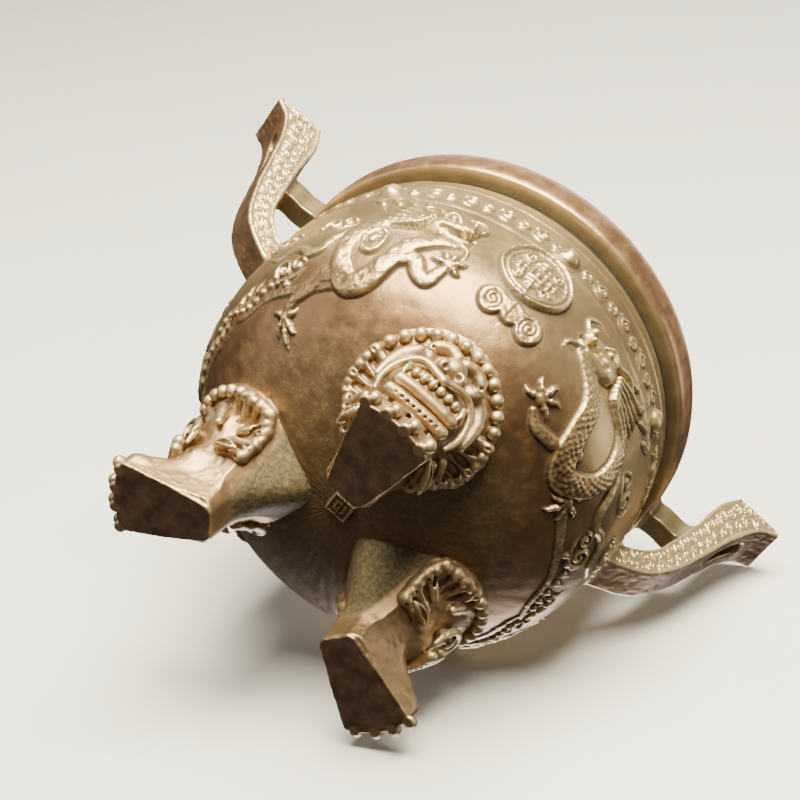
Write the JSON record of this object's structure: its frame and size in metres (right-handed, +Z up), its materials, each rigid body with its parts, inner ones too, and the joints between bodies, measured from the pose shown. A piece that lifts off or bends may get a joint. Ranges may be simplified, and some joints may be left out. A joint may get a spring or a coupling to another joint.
{
  "type": "tripod incense burner",
  "caption": "Small cast-bronze bowl with a thick rim, standing on lion-mask legs with paw feet, with upright slotted S-curved handles tied to the lip by short struts.",
  "frame": {"origin": "on the ground, under the middle of the bowl", "axes": "+Z up through the bowl's mouth, +X from the left handle to the right handle, -Y towards the front, where the medallion and one leg are"},
  "size_m": [0.134, 0.0894, 0.094],
  "materials": {
    "bowl_bronze": "old cast bronze with a warm brown patina: cream-gold wear on raised relief, copper-red lip, dark grey-green neck groove, fine sand-cast pitting",
    "leg_bronze": "old cast bronze, hand-rubbed tan to gold on the mask and paws, olive-green crust at the roots, near-black soles",
    "handle_bronze": "old cast bronze, satin brown faces with cream wear on scrolls and edges",
    "strut_bronze": "old cast bronze, pale worn sides and a dark underside"
  },
  "bodies": {
    "root": {"bowl": "bowl_bronze", "handle_right": "handle_bronze", "handle_left": "handle_bronze", "handle_strut_right": "strut_bronze", "handle_strut_left": "strut_bronze", "leg_front": "leg_bronze", "leg_right": "leg_bronze", "leg_left": "leg_bronze"}
  },
  "joints": []
}
